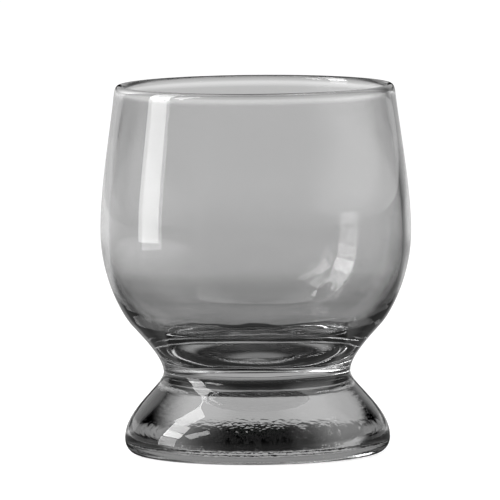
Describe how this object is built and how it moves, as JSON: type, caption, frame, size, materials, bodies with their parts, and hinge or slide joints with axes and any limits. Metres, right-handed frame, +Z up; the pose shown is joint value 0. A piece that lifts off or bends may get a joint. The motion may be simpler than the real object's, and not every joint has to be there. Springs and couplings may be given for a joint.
{
  "type": "vodka glass",
  "caption": "Small vodka glass with a round bowl, slightly drawn-in rim, narrow waist and thick solid foot.",
  "frame": {"origin": "middle of the circle the foot rests on, at table height", "axes": "+Z up along the axis the glass is turned about; +X and +Y are any two level directions"},
  "size_m": [0.0506, 0.0506, 0.06],
  "materials": {
    "glass": "clear glass with a light grey tint, fire-polished and glossy inside and out"
  },
  "bodies": {
    "root": {"glass_body": "glass"}
  },
  "joints": []
}
